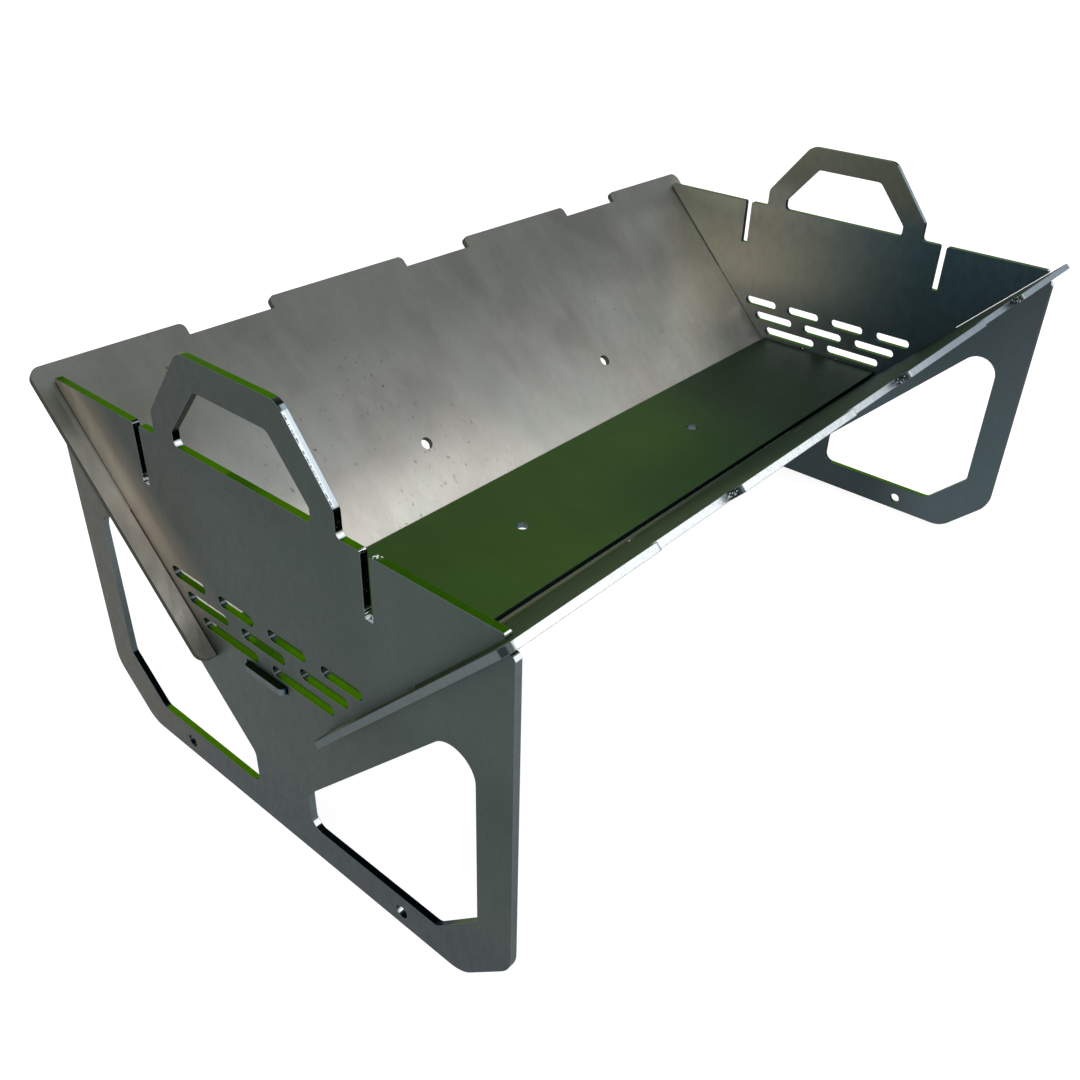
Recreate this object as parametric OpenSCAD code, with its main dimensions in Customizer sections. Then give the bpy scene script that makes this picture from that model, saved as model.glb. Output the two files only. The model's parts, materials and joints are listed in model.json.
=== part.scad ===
// Flat-pack fire pit: five laser-cut steel plates that slot together without
// fasteners. Two upright end plates are the legs, the basin ends and the carrying
// handles. Two side plates lean outwards between them and make the basin's long
// walls. A base plate with a tab at each end is the basin's floor.
// Millimetres. X runs along the pit, Y across it, Z up. The origin is on the ground
// under the middle of the pit.

/* [Sheet and clearances] */
// Thickness of every plate
plate_t = 4; // [3:0.5:5]
// Gap between a side plate's inner face and the wall of its slot in an end plate
wall_gap = 0.7; // [0.2:0.1:1.2]
// Gap on the lower face of a side plate, which it leans on, at the base's edges and under the tabs
seat_gap = 0.25; // [0.1:0.05:0.4]
// Gap on each face of an end plate inside a side plate's slot
fork_gap = 0.4; // [0.2:0.1:1]

/* [Basin] */
// Length of the basin between the two end plates
basin_len = 571; // [450:1:590]
// Angle of the side plates from upright
lean = 44.4; // [38:0.1:48]
// Height of the end plates' top edge above the ground
rim_z = 228; // [215:1:245]
// Half of the basin's width at that height
rim_half = 167.1; // [160:0.1:172]
// Height of the base plate's upper face above the side plates' lower edges
floor_rise = 12.1; // [9:0.1:13]

/* [End plates] */
// Half of the width across the legs
leg_half = 169; // [167:1:176]
// Width of the leg and of the foot bar
band_w = 21.6; // [16:0.2:25]
// Width of the strip between a side plate and a leg window
strip_w = 20.6; // [16:0.2:25]
// Length of the slanted cut at the outer corner of a foot, along each edge
foot_cut = 32.6; // [26:0.2:38]
// Rounding at both ends of that cut
foot_r = 20; // [5:1:24]
// Length of the slanted cut in the lower outer corner of a leg window
window_cut = 28; // [20:0.5:34]
// Distance from the middle to the inner edge of a leg window
window_in = 23.2; // [18:0.2:32]
// Rounding of the leg window's upper corner
window_top_r = 14; // [6:0.2:16]
// Rounding of the leg window's two inner corners
window_in_r = 7.5; // [2:0.5:10]
// Rounding of the leg window's two lower outer corners
window_r = 6; // [2:0.5:8]
// Rounding of the leg's upper tip
tip_r = 2.8; // [1:0.1:3.5]
// Rounding where the top edge meets the slot of a side plate
rim_r = 1.6; // [0.5:0.1:2.5]
// Distance that a side plate's slot runs down from the top edge, along the slope
lap_depth = 84; // [60:1:100]
// Distance from the middle to a foot hole
foot_hole_y = 93.1; // [60:0.1:110]
// Height of a foot hole above the ground
foot_hole_z = 9.8; // [8:0.1:12]

/* [Handles] */
// Height of a handle above the top edge
handle_h = 52.4; // [46:0.2:70]
// Half of the handle's width at the top edge
handle_half = 67.7; // [62:0.1:76]
// Half of the handle's width at its top
handle_top_half = 35.6; // [32:0.1:44]
// Height at which the handle's sides begin to slope
handle_knee = 12.9; // [8:0.1:16]
// Rounding of the handle's upper corners
handle_r = 10; // [4:0.5:12]
// Rounding of the knee, where the handle's sides begin to slope
handle_knee_r = 6; // [1:0.5:8]
// Rounding of the inner corner between the handle and the top edge
handle_foot_r = 3; // [1:0.5:5]
// Width of the steel over the hand hole
grip_h = 16.6; // [13:0.2:22]
// Half of the hand hole's width at its top
grip_top_half = 26.7; // [20:0.1:30]
// Half of the hand hole's width at its bottom
grip_half = 51; // [44:0.1:56]
// Height at which the hand hole's sides begin to slope
grip_knee = 7.5; // [5:0.1:12]
// Rounding of the hand hole's upper corners
grip_top_r = 6; // [2:0.5:10]
// Rounding of the hand hole's other corners
grip_r = 3; // [1:0.5:4]

/* [Narrow slots beside the handles] */
// Distance from the middle to the inner wall of a narrow slot
notch_y = 82.7; // [80:0.1:92]
// Width of a narrow slot
notch_w = 5.2; // [3:0.1:8]
// Depth of a narrow slot below the top edge
notch_depth = 34.5; // [15:0.5:40]
// Rounding where the top edge meets a narrow slot
notch_r = 1.8; // [0.5:0.1:2.5]

/* [Air slots] */
// Number of air slots in the lowest row, and each row above has one more
vent_first = 2; // [1:1:3]
// Number of rows of air slots
vent_rows = 3; // [1:1:3]
// Length of an air slot in the lowest row
vent_len_low = 47.6; // [40:0.1:54]
// Length of an air slot in the middle row
vent_len_mid = 35.5; // [30:0.1:40]
// Length of an air slot in the top row
vent_len_top = 29.3; // [24:0.1:34]
// Height of an air slot
vent_h = 6.8; // [4:0.1:8]
// Steel between two air slots in a row
vent_rib = 11.5; // [6:0.1:14]
// Distance between the middles of two rows
vent_pitch = 11.5; // [9:0.1:14]
// Height of the lowest row's middle above the base plate
vent_rise = 6.5; // [5:0.1:10]

/* [Side plates] */
// Distance that a side plate reaches past the outer face of each end plate
overhang = 10.5; // [6:0.5:30]
// Width of a side plate along its slope, without the recesses
side_h = 181.6; // [172:0.1:190]
// Distance that a side plate stands above the end plates' top edge, along the slope
side_rise = 7.2; // [4:0.1:12]
// Rounding of a side plate's corners
side_r = 7; // [2:0.5:12]
// Number of recesses in the top edge
recess_count = 3; // [1:1:3]
// Length of a recess
recess_len = 60.7; // [40:0.1:80]
// Depth of a recess
recess_depth = 8.1; // [4:0.1:10]
// Distance between the middles of two recesses
recess_pitch = 173.6; // [120:0.1:190]
// Rounding of the edge at the ends of a recess
recess_r = 4; // [1:0.5:4]
// Distance between the two round holes
side_hole_span = 189.2; // [120:0.1:400]
// Distance of those holes from the lower edge, along the slope
side_hole_rise = 55.9; // [30:0.1:110]

/* [Base plate] */
// Width of the tab at each end
tab_w = 31.5; // [20:0.5:45]
// Distance that a tab stands out of the end plate
tab_out = 3.4; // [1:0.1:8]
// Rounding of a tab's corners
tab_r = 3; // [0.5:0.1:3]
// Gap at each end of a tab inside its slot
tab_side_gap = 1.3; // [0.3:0.1:2]
// Gap above a tab inside its slot
tab_top_gap = 0.9; // [0.3:0.1:2]
// Gap between each end of the base plate and the end plate
base_end_gap = 0.3; // [0.1:0.1:1]
// Distance between the two round holes
base_hole_span = 188.6; // [120:0.1:400]

/* [Round holes] */
// Diameter of every round hole
hole_d = 8; // [4:0.5:12]

/* [Hidden] */
$fn = 64;
// Reach of a cut past the face that it goes through
through = 1;
// Length of a side plate
side_len = basin_len + 2 * (plate_t + overhang);
// Distance of the rim from a side plate's lower edge, along the slope
rim_rise = side_h - side_rise;
// Height of the base plate's upper face above the ground
floor_z = rim_z - rim_rise * cos(lean) + floor_rise;
// Faces of a side plate's slot in an end plate, measured outwards from the plate's inner face
slot_in = -wall_gap;
slot_out = plate_t + seat_gap;
// Height of the bottom of the tab slot in an end plate
tab_slot_z = floor_z - plate_t - seat_gap;
vent_lens = [vent_len_low, vent_len_mid, vent_len_top];

// Point in the end plate's plane, k along the slope above the rim and w outwards
// from the inner face of the side plate
function on_slope(k, w) = [
    rim_half + k * sin(lean) + w * cos(lean),
    rim_z + k * cos(lean) - w * sin(lean)
];
// Distance from the middle, at height z, of a line at w from the side plate's inner face
function slope_y(z, w) = rim_half + (z - rim_z) * tan(lean) + w / cos(lean);
// Height, at distance y from the middle, of the same line
function slope_z(y, w) = rim_z + (y - rim_half - w / cos(lean)) / tan(lean);

function unit(v) = v / norm(v);
function turn(a, b, c) = cross(b - a, c - b);
// The arc of radius r that rounds corner b: its two tangent points and its centre
function tangent(a, b, r) = b + unit(a - b) * r;
function half_angle(a, b, c) = acos(unit(a - b) * unit(c - b)) / 2;
function arc_in(a, b, c, r) = tangent(a, b, r / tan(half_angle(a, b, c)));
function arc_out(a, b, c, r) = tangent(c, b, r / tan(half_angle(a, b, c)));
function arc_centre(a, b, c, r) =
    b + unit(unit(a - b) + unit(c - b)) * r / sin(half_angle(a, b, c));

// Flat outline through the points of ring, which run anticlockwise. Each entry is
// a point and the radius of its corner, and 0 leaves the corner sharp.
module rounded(ring) {
    n = len(ring);
    p = [for (e = ring) e[0]];
    r = [for (e = ring) e[1]];
    before = [for (i = [0:n - 1]) p[(i + n - 1) % n]];
    after = [for (i = [0:n - 1]) p[(i + 1) % n]];
    difference() {
        union() {
            polygon([for (i = [0:n - 1]) each r[i] == 0 ? [p[i]] : [
                arc_in(before[i], p[i], after[i], r[i]),
                arc_out(before[i], p[i], after[i], r[i])
            ]]);
            for (i = [0:n - 1])
                if (r[i] > 0 && turn(before[i], p[i], after[i]) > 0)
                    translate(arc_centre(before[i], p[i], after[i], r[i])) circle(r[i]);
        }
        for (i = [0:n - 1])
            if (r[i] > 0 && turn(before[i], p[i], after[i]) < 0)
                translate(arc_centre(before[i], p[i], after[i], r[i])) circle(r[i]);
    }
}

// A half outline and its mirror image, as one anticlockwise ring
function both_halves(half) = concat(
    half,
    [for (i = [len(half) - 1:-1:0]) [[-half[i][0][0], half[i][0][1]], half[i][1]]]
);

// Slot with round ends, centred on the origin and lying along X
module round_slot(length, height) {
    square([length - height, height], center = true);
    for (s = [-1, 1]) translate([s * (length - height) / 2, 0]) circle(d = height);
}

module end_outline() {
    rounded(both_halves([
        [[leg_half - foot_cut, 0], foot_r],
        [[leg_half, foot_cut], foot_r],
        [[leg_half, slope_z(leg_half, slot_out)], tip_r],
        [on_slope(-lap_depth, slot_out), 0],
        [on_slope(-lap_depth, slot_in), 0],
        [[slope_y(rim_z, slot_in), rim_z], rim_r],
        [[notch_y + notch_w, rim_z], notch_r],
        [[notch_y + notch_w, rim_z - notch_depth], 0],
        [[notch_y, rim_z - notch_depth], 0],
        [[notch_y, rim_z], notch_r],
        [[handle_half, rim_z], handle_foot_r],
        [[handle_half, rim_z + handle_knee], handle_knee_r],
        [[handle_top_half, rim_z + handle_h], handle_r]
    ]));
}

module hand_hole() {
    rounded(both_halves([
        [[grip_half, rim_z], grip_r],
        [[grip_half, rim_z + grip_knee], grip_r],
        [[grip_top_half, rim_z + handle_h - grip_h], grip_top_r]
    ]));
}

module leg_window() {
    edge_w = plate_t + strip_w;
    outer = leg_half - band_w;
    rounded([
        [[window_in, band_w], window_in_r],
        [[outer - window_cut, band_w], window_r],
        [[outer, band_w + window_cut], window_r],
        [[outer, slope_z(outer, edge_w)], window_top_r],
        [[window_in, slope_z(window_in, edge_w)], window_in_r]
    ]);
}

module vents() {
    for (row = [0:vent_rows - 1]) {
        count = vent_first + row;
        step = vent_lens[row] + vent_rib;
        for (i = [0:count - 1])
            translate([(i - (count - 1) / 2) * step, floor_z + vent_rise + row * vent_pitch])
                round_slot(vent_lens[row], vent_h);
    }
}

// End plate drawn flat, with Y to the right and Z up
module end_profile() {
    tab_slot_h = plate_t + seat_gap + tab_top_gap;
    difference() {
        end_outline();
        hand_hole();
        vents();
        translate([-tab_w / 2 - tab_side_gap, tab_slot_z])
            square([tab_w + 2 * tab_side_gap, tab_slot_h]);
        for (s = [0, 1]) mirror([s, 0]) {
            leg_window();
            translate([foot_hole_y, foot_hole_z]) circle(d = hole_d);
        }
    }
}

module end_plate() {
    translate([basin_len / 2, 0, 0])
        rotate([90, 0, 90])
            linear_extrude(plate_t) end_profile();
}

module end_plate_left() {
    color("slategray") mirror([1, 0, 0]) end_plate();
}

module end_plate_right() {
    color("dimgray") end_plate();
}

// Top edge of a side plate from right to left, with its recesses
function side_top() = [
    for (i = [recess_count - 1:-1:0])
        let (x = (i - (recess_count - 1) / 2) * recess_pitch)
            each [
                [[x + recess_len / 2, side_h], recess_r],
                [[x + recess_len / 2, side_h - recess_depth], 0],
                [[x - recess_len / 2, side_h - recess_depth], 0],
                [[x - recess_len / 2, side_h], recess_r]
            ]
];

// Side plate drawn flat, with its lower edge on the X axis
module side_profile() {
    slot_top = rim_rise - lap_depth + seat_gap;
    difference() {
        rounded(concat(
            [[[-side_len / 2, 0], side_r], [[side_len / 2, 0], side_r], [[side_len / 2, side_h], side_r]],
            side_top(),
            [[[-side_len / 2, side_h], side_r]]
        ));
        for (s = [0, 1]) mirror([s, 0]) {
            translate([basin_len / 2 - fork_gap, -through])
                square([plate_t + 2 * fork_gap, slot_top + through]);
            translate([side_hole_span / 2, side_hole_rise]) circle(d = hole_d);
        }
    }
}

module side_plate() {
    translate([0, rim_half, rim_z])
        rotate([90 - lean, 0, 0])
            translate([0, -rim_rise, -plate_t])
                linear_extrude(plate_t) side_profile();
}

module side_plate_rear() {
    color("silver") side_plate();
}

module side_plate_front() {
    color("lightsteelblue") mirror([0, 1, 0]) side_plate();
}

// Base plate drawn flat, seen from above
module base_profile() {
    half_l = basin_len / 2 - base_end_gap;
    half_w = slope_y(floor_z - plate_t, -seat_gap);
    tab_end = basin_len / 2 + plate_t + tab_out;
    difference() {
        rounded(both_halves([
            [[half_l, -half_w], 0],
            [[half_l, -tab_w / 2], 0],
            [[tab_end, -tab_w / 2], tab_r],
            [[tab_end, tab_w / 2], tab_r],
            [[half_l, tab_w / 2], 0],
            [[half_l, half_w], 0]
        ]));
        for (s = [-1, 1]) translate([s * base_hole_span / 2, 0]) circle(d = hole_d);
    }
}

module base_plate() {
    color("darkolivegreen")
        translate([0, 0, floor_z - plate_t])
            linear_extrude(plate_t) base_profile();
}

base_plate();
end_plate_left();
end_plate_right();
side_plate_front();
side_plate_rear();
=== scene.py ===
"""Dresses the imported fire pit: bare sheet steel with laser-cut edges, on a pale studio floor."""

import json
import math

import bpy
from mathutils import Matrix, Vector

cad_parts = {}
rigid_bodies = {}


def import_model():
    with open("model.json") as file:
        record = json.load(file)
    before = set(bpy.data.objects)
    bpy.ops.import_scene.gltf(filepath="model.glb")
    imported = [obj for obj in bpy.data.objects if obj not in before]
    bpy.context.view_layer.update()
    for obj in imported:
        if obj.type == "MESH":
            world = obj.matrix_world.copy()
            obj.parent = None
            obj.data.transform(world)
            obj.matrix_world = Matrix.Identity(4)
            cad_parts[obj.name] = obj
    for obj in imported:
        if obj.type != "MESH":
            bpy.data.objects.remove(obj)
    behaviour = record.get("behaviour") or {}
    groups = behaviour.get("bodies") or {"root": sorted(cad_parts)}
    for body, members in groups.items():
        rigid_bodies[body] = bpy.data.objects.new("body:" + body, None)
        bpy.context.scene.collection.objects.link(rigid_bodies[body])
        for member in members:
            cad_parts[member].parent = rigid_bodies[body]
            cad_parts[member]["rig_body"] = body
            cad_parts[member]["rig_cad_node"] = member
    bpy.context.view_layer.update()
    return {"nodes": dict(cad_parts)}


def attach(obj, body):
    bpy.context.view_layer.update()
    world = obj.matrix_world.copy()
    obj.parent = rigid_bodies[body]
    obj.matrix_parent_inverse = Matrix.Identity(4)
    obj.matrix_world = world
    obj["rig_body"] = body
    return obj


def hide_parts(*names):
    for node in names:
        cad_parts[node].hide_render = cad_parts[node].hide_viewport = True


bl_info = {
    "name": "Slot-together fire pit",
    "version": (1, 0, 0),
    "blender": (4, 5, 0),
    "location": "View3D > Sidebar > Fire pit",
    "description": "Finishes the plates of a slot-together fire pit and sets its studio",
    "category": "Object",
}

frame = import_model()

# the side plates' lean from upright, and the middle of the rear one's lower inner edge
LEAN = math.radians(44.4)
SIDE_ROOT = (0.0, 0.04508, 0.1034)
# where the side plates' inner faces meet the end plates' rims, out from the middle and up
RIM_OUT = 0.1671
RIM_UP = 0.228

# finish of the plates: depth of grain and laser lines, gloss and rim tint of cut edges
RELIEF = 0.00004
EDGE_ROUGHNESS = 0.3
EDGE_RIM = (0.5, 0.5, 0.5)
WHITE = (1.0, 1.0, 1.0)

# mesh work: points closer than this merge, and these angles count as flat, as a corner and as smooth
MERGE_DISTANCE = 0.000001
FLAT_ANGLE = math.radians(0.2)
CORNER_ANGLE = math.radians(30)
SMOOTH_ANGLE = math.radians(15)
# how closely a face's normal follows the plate's to belong to its flat sides
FLAT_SIDE = 0.99

# the camera's sensor, in mm, and the nearest and furthest that it sees
SENSOR_WIDTH = 36
NEAREST = 0.01
FURTHEST = 100

# where the lamps stand, how wide they are, and what they point at
KEY_LAMP = ((1.2, -1.6, 2.2), 1.6)
FILL_LAMP = ((-2.2, -0.4, 1.8), 2.0)
LAMP_TARGET = (0.0, 0.0, 0.15)

# layout of the nodes in the shader editor
NODES_IN_A_ROW = 8
NODE_WIDTH = 200
NODE_HEIGHT = 260


def steel(red, green, blue):
    """A colour given in 8-bit sRGB, as the linear values that shaders use."""
    return tuple(
        round(c / 12.92 if c <= 0.04045 else ((c + 0.055) / 1.055) ** 2.4, 5)
        for c in (red / 255, green / 255, blue / 255)
    )


def colour_property(name, description, value):
    """A colour that the sidebar offers, with its default in 8-bit sRGB."""
    return bpy.props.FloatVectorProperty(
        name=name, description=description, default=steel(*value), subtype="COLOR", size=3, min=0, max=1
    )


class FirePitSteel(bpy.types.PropertyGroup):
    """Colours and finish of the bare sheet, with the reflections, highlights and shade painted into its
    colours.
    """

    # painted reflections on the plain sheet and the near end: slate is the sheet's grey, painted dark as
    # it reflects the ground, and stone, flint, shade, leg and foot lighten, darken or cool it in places
    # as painted reflections
    slate: colour_property("Slate", "Plain sheet that faces outwards or down", (55, 65, 62))
    stone: colour_property("Stone grey", "Rear half of the near end", (52, 57, 53))
    flint: colour_property("Flint grey", "Front corner of the near end", (63, 74, 71))
    shade: colour_property("Shade grey", "Upper part of the near end", (49, 58, 56))
    leg: colour_property("Leg grey", "Sheet of the rear legs", (63, 64, 56))
    foot: colour_property("Foot grey", "Cooler sheet along the foot bars", (48, 57, 61))
    # painted sheen: warm reflections painted on the near end beside the leaning plates
    warm: colour_property("Warm grey", "Broad sheen beside the leaning plates", (109, 102, 92))
    glow: colour_property("Warm glow", "Narrow sheen along the leaning plates", (174, 163, 150))
    # painted reflections on the basin's far end: pale olive at the rear, bluer at the front and under the
    # front plate, darker low on the foot bar; dusk also darkens low cut walls of the near end as painted
    # shade
    olive: colour_property("Olive grey", "Rear part of the basin's far end", (191, 188, 171))
    far_handle_reflection: colour_property("Far handle reflection", "Far handle", (110, 111, 96))
    ink: colour_property("Ink grey", "Front part of the basin's far end", (74, 95, 104))
    mist: colour_property("Mist grey", "Sheet under the leaning front plate", (78, 90, 95))
    dusk: colour_property("Dusk grey", "Inner side of the far foot bar", (54, 63, 66))
    # painted reflections on the rear side plate, grey at the top and brightest low down
    upper_rear_reflection: colour_property("Upper rear reflection", "Upper part of the rear side plate", (104, 106, 102))
    pale: colour_property("Pale grey", "Middle of the rear side plate", (141, 141, 138))
    bright: colour_property("Bright grey", "Lower part of the rear side plate", (206, 204, 198))
    # painted green reflections of the surroundings on the base plate, also laid in streaks on the front
    # side plate
    green_reflection: colour_property("Green reflection", "Base plate near the left end", (51, 79, 27))
    deep_green_reflection: colour_property("Deep green reflection", "Front edge of the base plate's middle", (36, 65, 23))
    grey_green_reflection: colour_property("Grey-green reflection", "Base plate near the right end", (39, 61, 43))
    # painted reflections on the front side plate, with pale streaks of painted reflection low down and a
    # dark painted reflection in the lower far corner
    near_front_reflection: colour_property("Near front reflection", "Near half of the front side plate", (84, 96, 70))
    front_reflection: colour_property("Front reflection", "Middle of the front side plate", (64, 75, 62))
    streak_reflection: colour_property("Streak reflection", "Streaks low on the front side plate", (165, 163, 138))
    far_top_reflection: colour_property("Far top reflection", "Upper far corner of the front side plate", (98, 102, 99))
    far_low_reflection: colour_property("Far low reflection", "Lower far corner of the front side plate", (44, 60, 60))
    # painted light on the cut edges: a grey reflection where they face sideways, green reflections where
    # they face up, highlights and sky reflections where they slant, and painted shade on the walls of
    # slots, holes and windows
    edge: colour_property("Cut edge", "Laser-cut edges that face sideways", (91, 99, 101))
    edge_green_reflection: colour_property("Top edge", "Laser-cut edges that face up, at the front", (40, 77, 5))
    edge_bright_green_reflection: colour_property("Bright top edge", "Laser-cut edges that face up, elsewhere", (59, 102, 1))
    edge_low_shade: colour_property("Low edge", "Laser-cut walls low in the windows", (18, 35, 42))
    edge_highlight: colour_property("Shining edge", "Slanted laser-cut edges", (240, 248, 251))
    edge_sky_reflection: colour_property("Blue edge", "Far half of the front plate's upper edge", (146, 160, 171))
    edge_shade: colour_property("Dark edge", "Laser-cut walls of slots and holes", (11, 22, 20))
    roughness: bpy.props.FloatProperty(
        name="Roughness", description="Gloss of the rolled sheet",
        default=0.5, min=0, max=1, subtype="FACTOR",
    )
    clouds: bpy.props.FloatProperty(
        name="Clouds", description="Depth of the sheet's broad clouds",
        default=0.28, min=0, max=1, subtype="FACTOR",
    )
    specks: bpy.props.FloatProperty(
        name="Specks", description="Depth of the sheet's dark specks",
        default=1.0, min=0, max=1, subtype="FACTOR",
    )
    bevel: bpy.props.FloatProperty(
        name="Edge break", description="Width of the broken edge round each plate",
        default=0.00022, min=0, max=0.001, precision=5, unit="LENGTH",
    )


class FirePitStudio(bpy.types.PropertyGroup):
    """Floor, light and camera."""

    floor_size: bpy.props.FloatProperty(
        name="Floor", description="Length of the floor's sides", default=60.0, min=1, unit="LENGTH"
    )
    floor_white: bpy.props.FloatProperty(
        name="Floor white", description="Share of the floor's white that no shadow darkens",
        default=0.86, min=0, max=1, subtype="FACTOR",
    )
    sky: bpy.props.FloatProperty(
        name="Sky", description="Strength of the light from all round", default=0.7, min=0, max=2
    )
    key_power: bpy.props.FloatProperty(
        name="Key lamp", description="Power of the lamp at the front right",
        default=6, min=0, unit="POWER",
    )
    fill_power: bpy.props.FloatProperty(
        name="Fill lamp", description="Power of the lamp at the left",
        default=4, min=0, unit="POWER",
    )
    camera_place: bpy.props.FloatVectorProperty(
        name="Camera", description="Place of the camera",
        default=(-0.51938, -0.37257, 0.47051), subtype="TRANSLATION", unit="LENGTH",
    )
    camera_turn: bpy.props.FloatProperty(
        name="Turn", description="Direction of the view, from +X towards +Y",
        default=math.radians(40.083), subtype="ANGLE", unit="ROTATION",
    )
    camera_dip: bpy.props.FloatProperty(
        name="Dip", description="Angle of the view below the horizon",
        default=math.radians(32.873), subtype="ANGLE", unit="ROTATION",
    )
    camera_roll: bpy.props.FloatProperty(
        name="Roll", description="Tilt of the camera",
        default=math.radians(1.676), subtype="ANGLE", unit="ROTATION",
    )
    lens: bpy.props.FloatProperty(
        name="Lens", description="Focal length on a 36 mm sensor", default=35.467, min=1, unit="CAMERA"
    )


class Maker:
    """Adds nodes to one node tree."""

    def __init__(self, tree):
        self.tree = tree
        self.count = 0

    def add(self, kind, inputs=(), **settings):
        """A node with its settings, its inputs given by name or number as a value or a socket."""
        made = self.tree.nodes.new(kind)
        row, column = divmod(self.count, NODES_IN_A_ROW)
        made.location = (column * NODE_WIDTH, -row * NODE_HEIGHT)
        self.count += 1
        for name, value in settings.items():
            setattr(made, name, value)
        for key, value in dict(inputs).items():
            if isinstance(value, bpy.types.NodeSocket):
                self.tree.links.new(value, made.inputs[key])
            else:
                if isinstance(value, tuple) and len(value) == 3 and made.inputs[key].type == "RGBA":
                    value = (*value, 1.0)
                made.inputs[key].default_value = value
        return made

    def math(self, operation, *values):
        return self.add("ShaderNodeMath", enumerate(values), operation=operation).outputs[0]

    def dot(self, vector, direction):
        inputs = {0: vector, 1: direction}
        return self.add("ShaderNodeVectorMath", inputs, operation="DOT_PRODUCT").outputs["Value"]

    def fade(self, value, start, end):
        """0 at start to 1 at end, with a soft beginning and end."""
        inputs = {"Value": value, "From Min": start, "From Max": end}
        return self.add("ShaderNodeMapRange", inputs, interpolation_type="SMOOTHSTEP").outputs["Result"]

    def span(self, value, low, high):
        """The value from 0 to 1 as one from low to high."""
        inputs = {"Value": value, "To Min": low, "To Max": high}
        return self.add("ShaderNodeMapRange", inputs).outputs["Result"]

    def vary(self, pattern, depth, tone):
        """The tone, lifted and lowered by a pattern round its middle."""
        return self.math("MULTIPLY_ADD", self.math("SUBTRACT", pattern, 0.5), depth, tone)

    def mix(self, share, first, second, blend="MIX"):
        inputs = {0: share, 6: first, 7: second}
        return self.add("ShaderNodeMix", inputs, data_type="RGBA", blend_type=blend).outputs[2]

    def noise(self, vector, marks, detail, roughness):
        """A random pattern, with so many marks a metre on each axis."""
        inputs = {0: vector, 1: marks}
        stretched = self.add("ShaderNodeVectorMath", inputs, operation="MULTIPLY").outputs["Vector"]
        inputs = {"Vector": stretched, "Scale": 1.0, "Detail": detail, "Roughness": roughness}
        return self.add("ShaderNodeTexNoise", inputs).outputs["Fac"]


def new_group(name, inputs, outputs):
    """An empty shader group with its sockets, as its tree, its maker and its two end nodes."""
    tree = bpy.data.node_groups.new(name, "ShaderNodeTree")
    for kind, sockets in (("INPUT", inputs), ("OUTPUT", outputs)):
        for label, socket in sockets:
            tree.interface.new_socket(label, in_out=kind, socket_type="NodeSocket" + socket)
    maker = Maker(tree)
    return tree, maker, maker.add("NodeGroupInput"), maker.add("NodeGroupOutput")


def rolled_sheet_group():
    """Marks of cold-rolled sheet: clouds, smears, grain, specks, tinted patches and long streaks; the
    streaks and patches also bound painted reflections in the materials.
    """
    tree, make, given, out = new_group(
        "Rolled sheet",
        [("Vector", "Vector"), ("Clouds", "Float"), ("Specks", "Float")],
        [
            ("Tone", "Color"), ("Gloss", "Float"), ("Height", "Float"),
            ("Streaks", "Float"), ("Patches", "Float"),
        ],
    )
    vector = given.outputs["Vector"]
    clouds = make.noise(vector, (9.0, 7.0, 9.0), 4.0, 0.55)
    smears = make.noise(vector, (44.0, 22.0, 44.0), 5.0, 0.6)
    mottle = make.noise(vector, (190.0, 110.0, 190.0), 4.0, 0.65)
    grain = make.noise(vector, (1300.0, 150.0, 1300.0), 2.0, 0.6)
    dashes = make.noise(vector, (330.0, 130.0, 330.0), 2.0, 0.5)
    dots = make.noise(vector, (230.0, 230.0, 230.0), 1.0, 0.4)
    patches = make.noise(vector, (13.0, 9.0, 13.0), 3.0, 0.55)
    streaks = make.noise(vector, (3.0, 150.0, 3.0), 2.0, 0.5)

    # specks gather where the clouds are dense
    field = make.fade(clouds, 0.48, 0.6)
    specks = make.math("MAXIMUM", make.fade(dashes, 0.64, 0.78), make.fade(dots, 0.7, 0.8))
    specks = make.math("MULTIPLY", make.math("MULTIPLY", specks, field), given.outputs["Specks"])

    tone = make.vary(clouds, given.outputs["Clouds"], 1.0)
    smear_depth = make.math("MULTIPLY", given.outputs["Clouds"], 1.5)
    for pattern, depth in ((smears, smear_depth), (mottle, 0.36), (grain, 0.22)):
        tone = make.vary(pattern, depth, tone)
    tone = make.math("MULTIPLY", tone, make.math("SUBTRACT", 1.0, make.math("MULTIPLY", specks, 0.5)))
    tint = make.mix(make.fade(patches, 0.35, 0.65), (0.955, 1.0, 0.985), (1.012, 0.99, 0.975))
    gloss = make.math("MULTIPLY_ADD", specks, 0.2, make.vary(mottle, 0.25, 0.0))
    height = make.math("MULTIPLY_ADD", grain, 0.6, make.math("MULTIPLY", mottle, 0.4))
    results = {
        "Tone": make.mix(1.0, tint, tone, "MULTIPLY"),
        "Gloss": gloss,
        "Height": height,
        "Streaks": streaks,
        "Patches": patches,
    }
    for label, socket in results.items():
        tree.links.new(socket, out.inputs[label])
    return tree


def cut_edge_group():
    """Fine lines that a laser leaves across the thickness of a sheet, and specks for painted glints off
    burr; both also bound painted highlights and shade.
    """
    tree, make, given, out = new_group(
        "Laser-cut edge",
        [("Vector", "Vector")],
        [("Tone", "Float"), ("Lines", "Float"), ("Sparks", "Float")],
    )
    vector = given.outputs["Vector"]
    fine = make.noise(vector, (2200.0, 2200.0, 176.0), 1.0, 0.5)
    coarse = make.noise(vector, (300.0, 300.0, 24.0), 3.0, 0.6)
    lines = make.math("MULTIPLY_ADD", fine, 0.65, make.math("MULTIPLY", coarse, 0.35))
    results = {
        "Tone": make.span(lines, 0.6, 1.4),
        "Lines": lines,
        "Sparks": make.noise(vector, (1100.0, 1100.0, 1100.0), 1.0, 0.5),
    }
    for label, socket in results.items():
        tree.links.new(socket, out.inputs[label])
    return tree


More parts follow.
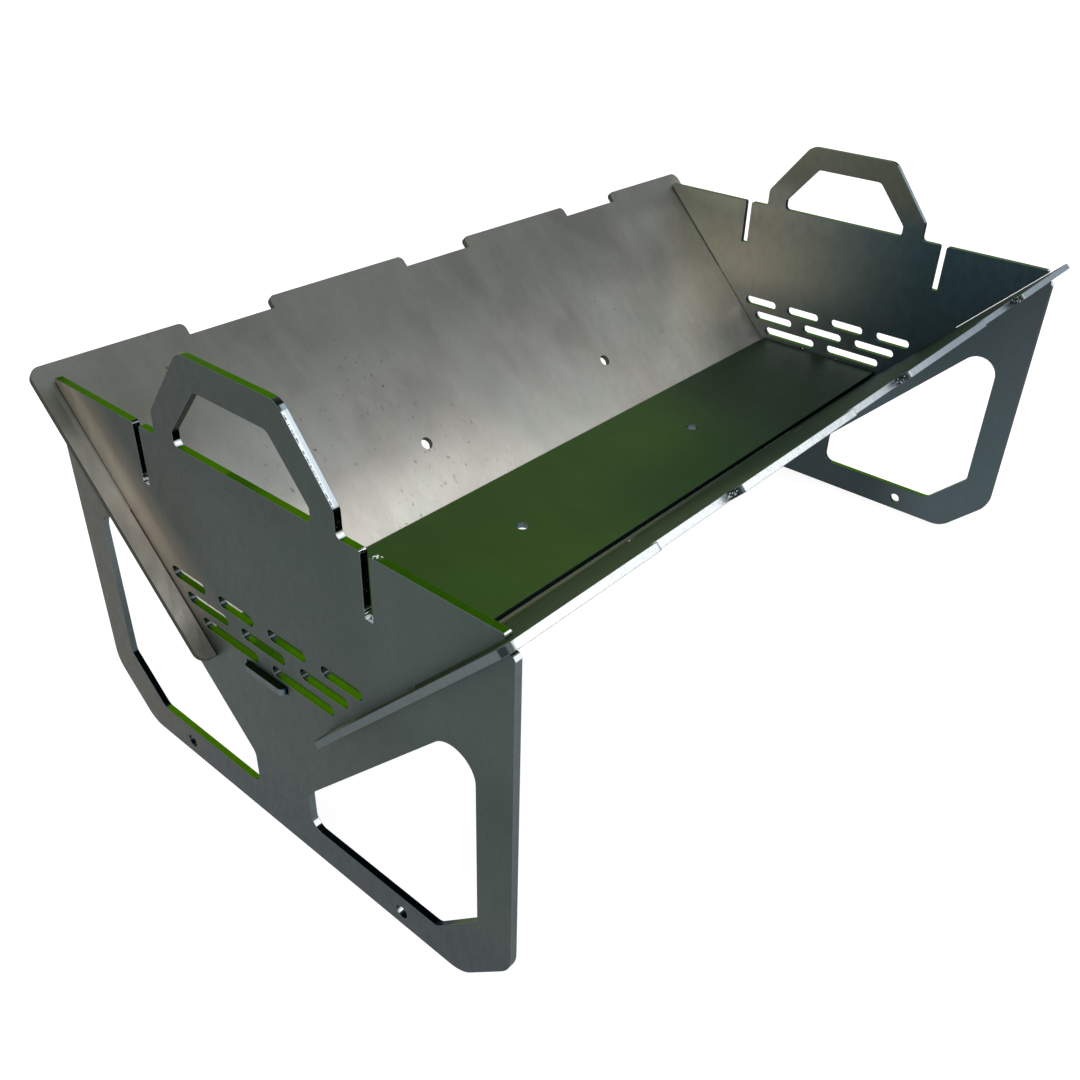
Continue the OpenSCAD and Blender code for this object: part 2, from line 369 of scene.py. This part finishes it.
GROUP_MAKERS = {"Rolled sheet": rolled_sheet_group, "Laser-cut edge": cut_edge_group}
GROUPS = {}


def group(name):
    """The named shader group, made when it is first asked for."""
    if name not in GROUPS:
        GROUPS[name] = GROUP_MAKERS[name]()
    return GROUPS[name]


def new_material(name):
    """An empty node material, with its maker and its coordinates node."""
    material = bpy.data.materials.new(name)
    material.use_nodes = True
    material.node_tree.nodes.clear()
    make = Maker(material.node_tree)
    return material, make, make.add("ShaderNodeTexCoord")


def close_material(make, colour, roughness, height, rim):
    """The metal shader, fed by a colour, a roughness and a height."""
    bump = make.add("ShaderNodeBump", {"Height": height, "Distance": RELIEF, "Strength": 1.0})
    normal = bump.outputs["Normal"]
    inputs = {"Base Color": colour, "Roughness": roughness, "Normal": normal, "Metallic": 1.0}
    shader = make.add("ShaderNodeBsdfPrincipled", inputs)
    shader.inputs["Specular Tint"].default_value = (*rim, 1.0)
    output = make.add("ShaderNodeOutputMaterial")
    make.tree.links.new(shader.outputs["BSDF"], output.inputs["Surface"])


def plate_space(make, vector, plane):
    """The vector on a plate's own axes: along it, up it, and out of its face."""
    if plane == "level":
        return vector
    if plane == "end":
        parts = make.add("ShaderNodeSeparateXYZ", {0: vector}).outputs
        return make.add("ShaderNodeCombineXYZ", {0: parts[1], 1: parts[2], 2: parts[0]}).outputs[0]
    side = 1 if plane == "rear" else -1
    root = (SIDE_ROOT[0], side * SIDE_ROOT[1], SIDE_ROOT[2])
    turn = math.pi / 2 - side * LEAN
    inputs = {"Vector": vector, "Location": root, "Rotation": (turn, 0.0, 0.0)}
    return make.add("ShaderNodeMapping", inputs, vector_type="TEXTURE").outputs["Vector"]


def at(direction, start, end):
    """A fade by place, on the plate's own axes."""
    return "place", direction, start, end


def facing(direction, start, end):
    """A fade by the way that the surface faces, on the pit's axes."""
    return "facing", direction, start, end


def marked(pattern, start, end):
    """A fade by a pattern of one of the shader groups."""
    return pattern, None, start, end


def layered(make, base, layers, sources):
    """The base tone under soft layers, each with a tone, a share and the fades that bound it."""
    look = bpy.context.scene.fire_pit_steel
    colour = (*getattr(look, base), 1.0)
    for tone, share, fades in layers:
        mask = share
        for source, direction, start, end in fades:
            value = sources[source]
            if direction is not None:
                value = make.dot(value, direction)
            mask = make.math("MULTIPLY", mask, make.fade(value, start, end))
        colour = make.mix(mask, colour, (*getattr(look, tone), 1.0))
    return colour


def sheet_material(name, plane, base, layers, rim=WHITE, specks=0.2, clouds=0.7):
    """Rolled sheet with soft painted tones that stand for what the sheet reflects round it."""
    look = bpy.context.scene.fire_pit_steel
    material, make, coordinates = new_material(name)
    vector = plate_space(make, coordinates.outputs["Object"], plane)
    marks = make.add("ShaderNodeGroup", node_tree=group("Rolled sheet"))
    make.tree.links.new(vector, marks.inputs["Vector"])
    marks.inputs["Clouds"].default_value = look.clouds * clouds
    marks.inputs["Specks"].default_value = look.specks * specks
    sources = {label: marks.outputs[label] for label in ("Streaks", "Patches")}
    sources["place"] = vector
    colour = layered(make, base, layers, sources)
    colour = make.mix(1.0, colour, marks.outputs["Tone"], "MULTIPLY")
    roughness = make.math("ADD", marks.outputs["Gloss"], look.roughness)
    close_material(make, colour, roughness, marks.outputs["Height"], rim)
    return material


def edge_material(name, plane, base, layers):
    """Laser-cut edge, with painted reflections, highlights and shade by the way that it faces, and lines
    along the sheet's thickness.
    """
    material, make, coordinates = new_material(name)
    vector = plate_space(make, coordinates.outputs["Object"], plane)
    cut = make.add("ShaderNodeGroup", node_tree=group("Laser-cut edge"))
    make.tree.links.new(vector, cut.inputs["Vector"])
    sources = {label: cut.outputs[label] for label in ("Lines", "Sparks")}
    sources["place"] = vector
    sources["facing"] = coordinates.outputs["Normal"]
    colour = layered(make, base, layers, sources)
    colour = make.mix(1.0, colour, cut.outputs["Tone"], "MULTIPLY")
    close_material(make, colour, EDGE_ROUGHNESS, cut.outputs["Lines"], EDGE_RIM)
    return material


# a plate's own axes
ALONG = (1.0, 0.0, 0.0)
UP = (0.0, 1.0, 0.0)
OUT = (0.0, 0.0, 1.0)
# out from the seams between the end plates and the leaning plates, on an end plate's axes
REAR_SEAM = (math.cos(LEAN), -math.sin(LEAN), 0.0)
FRONT_SEAM = (-math.cos(LEAN), -math.sin(LEAN), 0.0)
SEAM = RIM_OUT * math.cos(LEAN) - RIM_UP * math.sin(LEAN)
# aslant from the lower far corner, on the rear side plate and on the base plate
REAR_CORNER = (1.0, -1.1, 0.0)
BASE_CORNER = (1.0, -0.4, 0.0)

# each sheet's plane and base tone, its rim tint, specks and clouds where they differ from the usual,
# and its layers: a tone, its share and the fades that bound it
# base tones and layers are painted reflections of the surroundings, and painted shade
SHEETS = {
    # the plain sheet on faces that face outwards or down: its grey painted dark as a reflection of the
    # ground, half turning to the leg grey's painted reflection higher up
    "plain_sheet": {
        "plane": "end", "base": "slate",
        "layers": [("leg", 0.5, [at(UP, 0.02, 0.2)])],
    },
    # the near end's outer face: painted reflections, lighter at the front corner, darker at the top and
    # the rear, cooler along the foot bar, with warm painted sheen beside the rear plate
    "left_end_outer": {
        "plane": "end", "base": "slate",
        "layers": [
            ("flint", 1.0, [at(ALONG, -0.06, -0.1), at(UP, 0.13, 0.17)]),
            ("stone", 1.0, [at(ALONG, 0.02, 0.07), at(UP, 0.12, 0.18)]),
            ("shade", 0.7, [at(ALONG, -0.05, -0.01), at(ALONG, 0.1, 0.07), at(UP, 0.2, 0.225)]),
            ("foot", 1.0, [at(UP, 0.06, 0.02)]),
            ("warm", 1.0, [at(REAR_SEAM, SEAM - 0.042, SEAM - 0.012), at(UP, 0.1, 0.175)]),
            ("glow", 1.0, [at(REAR_SEAM, SEAM - 0.024, SEAM - 0.004), at(UP, 0.1, 0.19)]),
            ("leg", 1.0, [at(REAR_SEAM, SEAM, SEAM + 0.004), at(ALONG, 0.06, 0.13)]),
        ],
    },
    # the far end's inner face: painted reflections, pale olive at the rear and bluer at the front, with
    # the handle, the sheet under the front plate and the foot bar each in their own painted reflection
    "right_end_inner": {
        "plane": "end", "base": "ink", "clouds": 0.35,
        "layers": [
            ("olive", 1.0, [at(ALONG, -0.085, 0.11)]),
            ("ink", 0.4, [at(UP, 0.175, 0.145)]),
            ("ink", 0.15, [at(UP, 0.19, 0.215)]),
            ("far_handle_reflection", 0.85, [at(UP, 0.225, 0.26)]),
            ("mist", 1.0, [at(FRONT_SEAM, SEAM, SEAM + 0.004)]),
            ("dusk", 1.0, [at(ALONG, -0.13, -0.06), at(UP, 0.08, 0.03)]),
        ],
    },
    # the rear plate's inner face: painted reflections, grey at the top and brightest low down and on the
    # overhang past the near end, with patches of the flint grey low down and the leg grey near the ends
    "rear_inner": {
        "plane": "rear", "base": "upper_rear_reflection", "specks": 0.7, "clouds": 1.0,
        "layers": [
            ("pale", 1.0, [at(UP, 0.154, 0.056)]),
            ("flint", 0.22, [marked("Patches", 0.49, 0.6), at(UP, 0.04, 0.1)]),
            ("bright", 0.5, [at(UP, 0.085, 0.015)]),
            ("bright", 0.13, [at(ALONG, 0.08, 0.16), at(UP, 0.04, 0.07), at(UP, 0.12, 0.09)]),
            ("bright", 1.0, [at(UP, 0.065, 0.015), at(ALONG, 0.02, -0.14)]),
            ("bright", 0.5, [at(REAR_CORNER, 0.085, 0.15)]),
            ("pale", 0.9, [at(ALONG, 0.2, 0.26), at(UP, 0.06, 0.03)]),
            ("bright", 0.75, [at(ALONG, -0.286, -0.292), at(UP, 0.17, 0.1)]),
            ("bright", 0.5, [at(UP, 0.035, 0.012), at(ALONG, -0.2, -0.1), at(ALONG, 0.14, 0.02)]),
            ("pale", 0.4, [at(ALONG, 0.13, 0.25), at(UP, 0.08, 0.12), at(UP, 0.165, 0.145)]),
            ("leg", 0.6, [at(ALONG, -0.24, -0.28), at(UP, 0.03, 0.01)]),
            ("leg", 0.4, [at(ALONG, -0.2915, -0.2935), at(UP, 0.135, 0.15), at(UP, 0.172, 0.162)]),
        ],
    },
    # the front plate's inner face: painted reflections, with a pale band and streaks of painted
    # reflection low down, green streaks of painted reflection, and a dark painted reflection in the lower
    # far corner
    "front_inner": {
        "plane": "front", "base": "front_reflection", "rim": (0.35, 0.42, 0.4),
        "layers": [
            ("near_front_reflection", 1.0, [at(ALONG, -0.04, -0.14)]),
            ("far_low_reflection", 0.85, [at(ALONG, 0.16, 0.25), at(UP, 0.12, 0.06)]),
            ("far_top_reflection", 0.6, [at(ALONG, 0.2, 0.27), at(UP, 0.08, 0.13)]),
            ("streak_reflection", 0.8, [at(UP, 0.052, 0.028), at(UP, 0.004, 0.02), at(ALONG, 0.1, -0.15)]),
            ("streak_reflection", 0.07, [marked("Streaks", 0.5, 0.62), at(ALONG, 0.2, 0.0), at(UP, 0.15, 0.1)]),
            ("green_reflection", 0.3, [marked("Streaks", 0.47, 0.38), at(ALONG, 0.2, 0.0), at(UP, 0.15, 0.1)]),
        ],
    },
    # the base plate's top: painted green reflections of the surroundings, deeper at the front of the
    # middle and greyer towards the far corner
    "base_top": {
        "plane": "level", "base": "green_reflection",
        "layers": [
            ("deep_green_reflection", 1.0, [at(ALONG, -0.1, 0.02), at(UP, 0.02, -0.04)]),
            ("grey_green_reflection", 1.0, [at(BASE_CORNER, 0.06, 0.17)]),
            # the tab in and past the near end's slot, painted dark as it reflects the end plate and lies
            # in its shade
            ("edge_shade", 0.8, [at(ALONG, -0.2875, -0.289)]),
        ],
    },
}

# ways that cut edges face
SLANT = (0.0, -0.76, 0.65)
FACES_UP = facing((0.0, 0.35, 0.94), 0.8, 0.92)
FACES_FRONT = facing((0.0, -1.0, 0.0), 0.6, 0.9)
FACES_DOWN = facing((0.0, 0.0, -1.0), 0.3, 0.6)
OVERHANGS = facing((0.0, -0.76, -0.65), 0.95, 0.985)
ROUNDS_TOP = facing((0.0, -0.45, 0.89), 0.95, 0.985)
ROUNDS_FAR_TOP = facing((0.0, -0.45, 0.89), 0.9, 0.97)
SLANTS = facing(SLANT, 0.965, 0.985)
NEARLY_SLANTS = facing(SLANT, 0.8, 0.9)
ROUNDS_SLANT = facing(SLANT, 0.85, 0.95)
FACES_UP_SLOPE = facing((0.0, -math.sin(LEAN), math.cos(LEAN)), 0.9, 0.97)
FACES_LEFT = facing((-1.0, 0.0, 0.0), 0.85, 0.95)
ROUNDS_LEFT = facing((-0.85, -0.37, 0.37), 0.93, 0.98)

# parts of an end plate's edges
BEHIND_FRONT_LEG = at(ALONG, -0.12, -0.11)
FRONT_TIP = at(ALONG, -0.15, -0.16)
ABOVE_SLOTS = at(UP, 0.19, 0.2)
SLOT_ENDS = (at(UP, 0.18, 0.19), at(UP, 0.198, 0.196))
SLOT_WALL_ENDS = (at(UP, 0.19, 0.192), at(UP, 0.2, 0.197))
SLOT_CORNERS = (at(UP, 0.22, 0.225), at(ALONG, -0.094, -0.092), at(ALONG, -0.086, -0.087))
ON_GRIP = (at(UP, 0.24, 0.235), at(ALONG, 0.0115, 0.009), at(ALONG, -0.026, -0.003))
HANDLE_FOOT = (at(UP, 0.22, 0.226), at(ALONG, 0.07, 0.06), at(ALONG, -0.078, -0.072))
BELOW_HANDLE = at(UP, 0.2345, 0.2335)
HANDLE_SIDE = at(UP, 0.2335, 0.2345)
HANDLE_LINE = (at(OUT, -0.2893, -0.289), at(OUT, -0.2883, -0.2886))
# parts of the front plate's edges
PAST_NEAR_END = at(ALONG, -0.28, -0.27)

END_EDGE = [
    # painted shade on walls that face forward or down and on the rounds below the top edges, and a pale
    # painted reflection on the overhangs
    ("edge_shade", 1.0, [FACES_FRONT, at(UP, 0.17, 0.2), at(ALONG, -0.14, -0.13)]),
    ("dusk", 0.6, [FACES_FRONT, at(UP, 0.13, 0.07), at(ALONG, 0.1, 0.12)]),
    ("edge_shade", 0.9, [FACES_DOWN, at(UP, 0.2, 0.22)]),
    ("pale", 0.75, [OVERHANGS, at(UP, 0.22, 0.23)]),
    ("edge_shade", 0.8, [ROUNDS_TOP]),
    # painted green reflections on edges that face up, and painted shade on those low in the windows
    ("edge_green_reflection", 1.0, [FACES_UP]),
    ("edge_bright_green_reflection", 1.0, [FACES_UP, at(ALONG, -0.09, -0.07)]),
    ("edge_low_shade", 1.0, [FACES_UP, at(UP, 0.035, 0.03), at(ALONG, 0.0, -0.03)]),
    ("edge_green_reflection", 0.9, [FACES_UP, *ON_GRIP]),
    # painted shade and glints at the ends and corners of the narrow slots
    ("edge_shade", 1.0, [FACES_UP, *SLOT_ENDS]),
    ("edge_highlight", 1.0, [FACES_UP, *SLOT_ENDS, marked("Sparks", 0.44, 0.5)]),
    ("edge_highlight", 1.0, [FACES_FRONT, BEHIND_FRONT_LEG, *SLOT_WALL_ENDS, marked("Lines", 0.5, 0.55)]),
    ("edge_highlight", 1.0, [FACES_UP, *SLOT_CORNERS, marked("Sparks", 0.55, 0.6)]),
    # painted shade and highlights on the slanted walls of the windows and the air slots
    ("edge_low_shade", 1.0, [SLANTS, at(UP, 0.11, 0.09), at(ALONG, 0.02, 0.04)]),
    ("edge_highlight", 1.0, [SLANTS, at(UP, 0.1, 0.12), at(UP, 0.2, 0.19), at(ALONG, 0.1, 0.11)]),
    ("edge_highlight", 1.0, [SLANTS, at(UP, 0.06, 0.05), at(ALONG, 0.01, 0.0)]),
    # painted shade and glints on the rounded corners below the handle, and a painted highlight at the
    # front tip
    ("edge_shade", 1.0, [NEARLY_SLANTS, ABOVE_SLOTS, BELOW_HANDLE]),
    ("edge_highlight", 1.0, [NEARLY_SLANTS, at(UP, 0.18, 0.19), BELOW_HANDLE, marked("Lines", 0.55, 0.57)]),
    ("edge_highlight", 0.9, [NEARLY_SLANTS, ABOVE_SLOTS, FRONT_TIP]),
    ("edge_highlight", 0.85, [NEARLY_SLANTS, BELOW_HANDLE, *HANDLE_FOOT, marked("Lines", 0.58, 0.52)]),
    ("edge_shade", 0.75, [NEARLY_SLANTS, ABOVE_SLOTS, BELOW_HANDLE, at(ALONG, 0.07, 0.08)]),
    # painted shade on the corner above the handle's slanted side, and a painted highlight, sky reflection
    # and dark lines along that side
    ("edge_shade", 0.85, [ROUNDS_SLANT, at(UP, 0.27, 0.275)]),
    ("edge_highlight", 1.0, [SLANTS, HANDLE_SIDE, at(UP, 0.2768, 0.276)]),
    ("edge_sky_reflection", 0.7, [SLANTS, HANDLE_SIDE, at(OUT, -0.2896, -0.287)]),
    ("edge_sky_reflection", 0.5, [SLANTS, HANDLE_SIDE, marked("Lines", 0.52, 0.62)]),
    ("edge_shade", 0.85, [SLANTS, HANDLE_SIDE, *HANDLE_LINE, marked("Lines", 0.44, 0.52)]),
    # painted glints off burr in the narrow slots
    ("edge_highlight", 1.0, [FACES_FRONT, BEHIND_FRONT_LEG, at(UP, 0.17, 0.2), marked("Sparks", 0.72, 0.76)]),
]
# the far end's cut edges: painted shade on walls that face forward and on the rounds below the top,
# painted green reflection on edges that face up, painted sky reflection on the handle's slanted side and
# a painted highlight at the front tip
FAR_EDGE = [
    ("edge_shade", 0.9, [FACES_FRONT]),
    ("edge_bright_green_reflection", 1.0, [FACES_UP]),
    ("edge_shade", 0.8, [ROUNDS_FAR_TOP]),
    ("edge_sky_reflection", 1.0, [SLANTS, HANDLE_SIDE]),
    ("edge_highlight", 0.9, [NEARLY_SLANTS, ABOVE_SLOTS, FRONT_TIP]),
]
FRONT_EDGE = [
    # painted highlight and sky reflection on the upper edge
    ("edge_highlight", 1.0, [FACES_UP_SLOPE]),
    ("edge_sky_reflection", 1.0, [FACES_UP_SLOPE, at(ALONG, -0.1, 0.1)]),
    ("edge_sky_reflection", 0.35, [FACES_UP_SLOPE, marked("Sparks", 0.42, 0.62)]),
    # painted shade and glints on the near corner and on the recesses' far walls
    ("edge_shade", 0.8, [ROUNDS_LEFT]),
    ("edge_shade", 0.75, [FACES_LEFT, PAST_NEAR_END]),
    ("edge_highlight", 0.8, [FACES_LEFT, PAST_NEAR_END, marked("Sparks", 0.6, 0.64)]),
]
# the rear plate's cut edges take the leg grey's painted reflection, and the base plate's front-facing
# edges the ink grey's dark painted reflection
EDGES = {
    "end_edge": {"plane": "end", "base": "edge", "layers": END_EDGE},
    "far_edge": {"plane": "end", "base": "edge", "layers": FAR_EDGE},
    "rear_edge": {"plane": "rear", "base": "leg", "layers": []},
    "front_edge": {"plane": "front", "base": "edge", "layers": FRONT_EDGE},
    "base_edge": {"plane": "level", "base": "edge", "layers": [("ink", 1.0, [FACES_FRONT])]},
}
MATERIALS = {}


def material(name):
    """The named sheet or edge material, made when it is first asked for."""
    if name not in MATERIALS:
        if name in SHEETS:
            MATERIALS[name] = sheet_material(name, **SHEETS[name])
        else:
            MATERIALS[name] = edge_material(name, **EDGES[name])
    return MATERIALS[name]


def select_only(thing):
    """Make one object the only one that is selected, and the active one."""
    bpy.ops.object.select_all(action="DESELECT")
    thing.hide_viewport = False
    thing.select_set(True)
    bpy.context.view_layer.objects.active = thing


def finish_plate(node, name, body, normal, materials):
    """A copy of a plate with broken edges, its two faces and its cut edges each in their own finish."""
    select_only(frame["nodes"][node])
    bpy.ops.object.duplicate()
    plate = bpy.context.view_layer.objects.active
    plate.name = plate.data.name = name
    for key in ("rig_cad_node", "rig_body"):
        del plate[key]
    plate.parent = None

    bpy.ops.object.mode_set(mode="EDIT")
    bpy.ops.mesh.select_all(action="SELECT")
    bpy.ops.mesh.remove_doubles(threshold=MERGE_DISTANCE)
    bpy.ops.mesh.customdata_custom_splitnormals_clear()
    bpy.ops.mesh.dissolve_limited(angle_limit=FLAT_ANGLE)
    bpy.ops.object.mode_set(mode="OBJECT")

    bevel = plate.modifiers.new("Broken edge", "BEVEL")
    bevel.width = bpy.context.scene.fire_pit_steel.bevel
    bevel.segments = 2
    bevel.limit_method = "ANGLE"
    bevel.angle_limit = CORNER_ANGLE
    bevel.use_clamp_overlap = False
    bpy.ops.object.modifier_apply(modifier=bevel.name)

    plate.data.materials.clear()
    for label in materials:
        plate.data.materials.append(material(label))
    for face in plate.data.polygons:
        likeness = face.normal.dot(Vector(normal))
        face.material_index = 0 if likeness > FLAT_SIDE else 1 if likeness < -FLAT_SIDE else 2
    bpy.ops.object.shade_smooth_by_angle(angle=SMOOTH_ANGLE)

    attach(plate, body)
    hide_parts(node)
    return plate


class FinishEndPlates(bpy.types.Operator):
    """Finish the two upright end plates"""

    bl_idname = "fire_pit.finish_end_plates"
    bl_label = "Finish the end plates"

    def execute(self, context):
        finish_plate(
            "end_plate_left", "left_end_plate", "frame", (-1, 0, 0),
            ("left_end_outer", "plain_sheet", "end_edge"),
        )
        finish_plate(
            "end_plate_right", "right_end_plate", "frame", (-1, 0, 0),
            ("right_end_inner", "plain_sheet", "far_edge"),
        )
        return {"FINISHED"}


class FinishSidePlates(bpy.types.Operator):
    """Finish the two leaning side plates"""

    bl_idname = "fire_pit.finish_side_plates"
    bl_label = "Finish the side plates"

    def execute(self, context):
        for name, side in (("rear", 1), ("front", -1)):
            finish_plate(
                "side_plate_" + name, name + "_side_plate", name + "_side",
                (0, -side * math.cos(LEAN), math.sin(LEAN)),
                (name + "_inner", "plain_sheet", name + "_edge"),
            )
        return {"FINISHED"}


class FinishBasePlate(bpy.types.Operator):
    """Finish the basin's floor"""

    bl_idname = "fire_pit.finish_base_plate"
    bl_label = "Finish the base plate"

    def execute(self, context):
        finish_plate(
            "base_plate", "basin_floor", "frame", (0, 0, 1),
            ("base_top", "plain_sheet", "base_edge"),
        )
        return {"FINISHED"}


def white_rays(make):
    """1 for the rays that show the background: those of the camera, of gloss and of glass."""
    path = make.add("ShaderNodeLightPath")
    rays = make.math("MAXIMUM", path.outputs["Is Camera Ray"], path.outputs["Is Glossy Ray"])
    return make.math("MAXIMUM", rays, path.outputs["Is Transmission Ray"])


def studio_floor(studio):
    """A pale floor that keeps the object's shadow and is white elsewhere."""
    bpy.ops.mesh.primitive_plane_add(size=studio.floor_size)
    floor = bpy.context.object
    floor.name = "studio_floor"
    paint = bpy.data.materials.new("studio_floor")
    paint.use_nodes = True
    paint.node_tree.nodes.clear()
    make = Maker(paint.node_tree)
    matt = make.add("ShaderNodeBsdfDiffuse", {"Color": (0.5, 0.5, 0.5)})
    strength = make.math("MULTIPLY", white_rays(make), studio.floor_white)
    glow = make.add("ShaderNodeEmission", {"Color": WHITE, "Strength": strength})
    both = make.add("ShaderNodeAddShader", {0: matt.outputs[0], 1: glow.outputs[0]})
    output = make.add("ShaderNodeOutputMaterial")
    make.tree.links.new(both.outputs[0], output.inputs["Surface"])
    floor.data.materials.append(paint)


def studio_sky(studio):
    """Soft white light from all round, behind which the background is plain white."""
    world = bpy.context.scene.world or bpy.data.worlds.new("studio_sky")
    bpy.context.scene.world = world
    world.use_nodes = True
    world.node_tree.nodes.clear()
    make = Maker(world.node_tree)
    strength = make.span(white_rays(make), studio.sky, 1.0)
    sky = make.add("ShaderNodeBackground", {"Color": WHITE, "Strength": strength})
    output = make.add("ShaderNodeOutputWorld")
    make.tree.links.new(sky.outputs[0], output.inputs["Surface"])


def soft_lamp(name, place, size, power):
    """A square lamp that points at the middle of the pit."""
    bpy.ops.object.light_add(type="AREA", location=place)
    lamp = bpy.context.object
    lamp.name = name
    lamp.data.size = size
    lamp.data.energy = power
    aim = Vector(LAMP_TARGET) - Vector(place)
    lamp.rotation_euler = aim.to_track_quat("-Z", "Y").to_euler()


def photo_camera(studio):
    """The camera at the photograph's place and angle."""
    turn, dip, roll = studio.camera_turn, studio.camera_dip, studio.camera_roll
    ahead = Vector((math.cos(dip) * math.cos(turn), math.cos(dip) * math.sin(turn), -math.sin(dip)))
    level = Vector((math.sin(turn), -math.cos(turn), 0))
    above = level.cross(ahead)
    right = level * math.cos(roll) + above * math.sin(roll)
    up = above * math.cos(roll) - level * math.sin(roll)
    bpy.ops.object.camera_add(location=studio.camera_place)
    camera = bpy.context.object
    camera.name = "photo_camera"
    camera.rotation_euler = Matrix((right, up, -ahead)).transposed().to_euler()
    camera.data.sensor_width = SENSOR_WIDTH
    camera.data.lens = studio.lens
    camera.data.clip_start = NEAREST
    camera.data.clip_end = FURTHEST
    bpy.context.scene.camera = camera


class SetStudio(bpy.types.Operator):
    """Set the floor, the light and the camera"""

    bl_idname = "fire_pit.set_studio"
    bl_label = "Set the studio"

    def execute(self, context):
        studio = context.scene.fire_pit_studio
        bpy.ops.object.select_all(action="DESELECT")
        studio_floor(studio)
        studio_sky(studio)
        soft_lamp("key_lamp", *KEY_LAMP, studio.key_power)
        soft_lamp("fill_lamp", *FILL_LAMP, studio.fill_power)
        photo_camera(studio)
        context.scene.view_settings.view_transform = "Standard"
        return {"FINISHED"}


class FirePitPanel(bpy.types.Panel):
    """Lists the steps that finish the fire pit"""

    bl_idname = "VIEW3D_PT_fire_pit"
    bl_label = "Fire pit"
    bl_space_type = "VIEW_3D"
    bl_region_type = "UI"
    bl_category = "Fire pit"

    def draw(self, context):
        for settings in (context.scene.fire_pit_steel, context.scene.fire_pit_studio):
            for name in settings.__annotations__:
                self.layout.prop(settings, name)
        for step in STEPS:
            self.layout.operator(step.bl_idname)


STEPS = (SetStudio, FinishEndPlates, FinishSidePlates, FinishBasePlate)
CLASSES = (FirePitSteel, FirePitStudio, *STEPS, FirePitPanel)


def register():
    for kind in CLASSES:
        bpy.utils.register_class(kind)
    bpy.types.Scene.fire_pit_steel = bpy.props.PointerProperty(type=FirePitSteel)
    bpy.types.Scene.fire_pit_studio = bpy.props.PointerProperty(type=FirePitStudio)


def unregister():
    del bpy.types.Scene.fire_pit_steel
    del bpy.types.Scene.fire_pit_studio
    for kind in reversed(CLASSES):
        bpy.utils.unregister_class(kind)


def main():
    """Set the studio and finish every plate."""
    register()
    bpy.ops.fire_pit.set_studio()
    bpy.ops.fire_pit.finish_end_plates()
    bpy.ops.fire_pit.finish_side_plates()
    bpy.ops.fire_pit.finish_base_plate()


if __name__ == "__main__":
    main()
